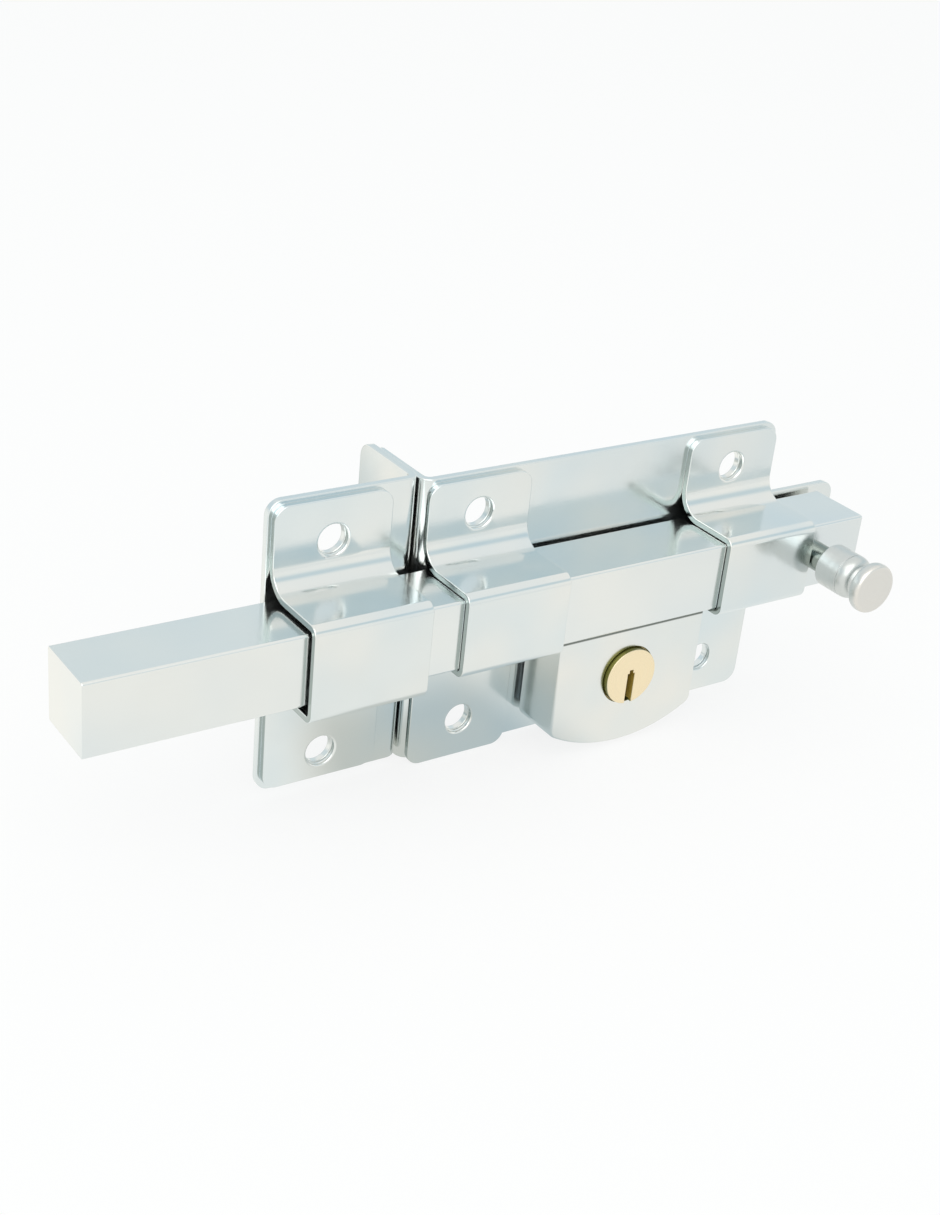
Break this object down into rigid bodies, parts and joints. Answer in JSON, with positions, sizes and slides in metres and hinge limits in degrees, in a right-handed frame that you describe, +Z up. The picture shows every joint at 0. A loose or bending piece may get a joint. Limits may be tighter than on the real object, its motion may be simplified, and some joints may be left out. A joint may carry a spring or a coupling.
{
  "type": "surface-mounted sliding bar bolt lock with keeper",
  "caption": "Surface-mounted lock: a square bar slides in bent guide straps into a separate keeper, and a key cylinder raises a latch that holds the bar.",
  "frame": {"origin": "on the key cylinder's axis at the rear face of the lock's back plate, in the middle of its tailpiece hole", "axes": "+X along the bar towards its pull knob, +Y into the door, +Z up; the lock faces -Y"},
  "size_m": [0.2376, 0.0688, 0.0818],
  "materials": {
    "sheet": "bright zinc plated sheet, polished",
    "bar": "bright plated drawn bar",
    "case": "bright plated casting",
    "knob": "satin turned metal",
    "fittings": "plain zinc plated steel",
    "brass": "turned brass, satin",
    "spring": "spring wire"
  },
  "bodies": {
    "lock": {"back_plate": "sheet", "left_guide_strap": "sheet", "right_guide_strap": "sheet", "keeper_plate": "sheet", "keeper_strap": "sheet", "bolt_stop_pin": "fittings", "lock_case": "case", "case_back_cover": "fittings", "case_screws": "fittings", "cylinder_body": "brass", "driver_pins": "fittings", "pin_springs": "spring", "chamber_cover": "brass", "cylinder_screws": "fittings", "latch_spring": "spring"},
    "bolt": {"bolt_bar": "bar", "knob_stud": "knob", "pull_knob": "knob"},
    "plug": {"cylinder_plug": "brass", "key_pins": "brass", "plug_cam": "fittings", "cam_clip": "fittings"},
    "latch": {"locking_latch": "fittings"}
  },
  "joints": [
    {"name": "bolt_slide", "type": "slide", "parent": "lock", "child": "bolt", "axis": [1, 0, 0], "range_m": [0, 0.097]},
    {"name": "plug_turn", "type": "hinge", "parent": "lock", "child": "plug", "pos_m": [0, 0, 0], "axis": [0, 1, 0], "range_deg": [0, 90]},
    {"name": "latch_lift", "type": "slide", "parent": "lock", "child": "latch", "axis": [0, 0, 1], "range_m": [0, 0.005], "deforming": ["latch_spring"]}
  ],
  "couplings": [
    {"joint": "latch_lift", "follows": "plug_turn", "m_per_rad": 0.003183}
  ]
}
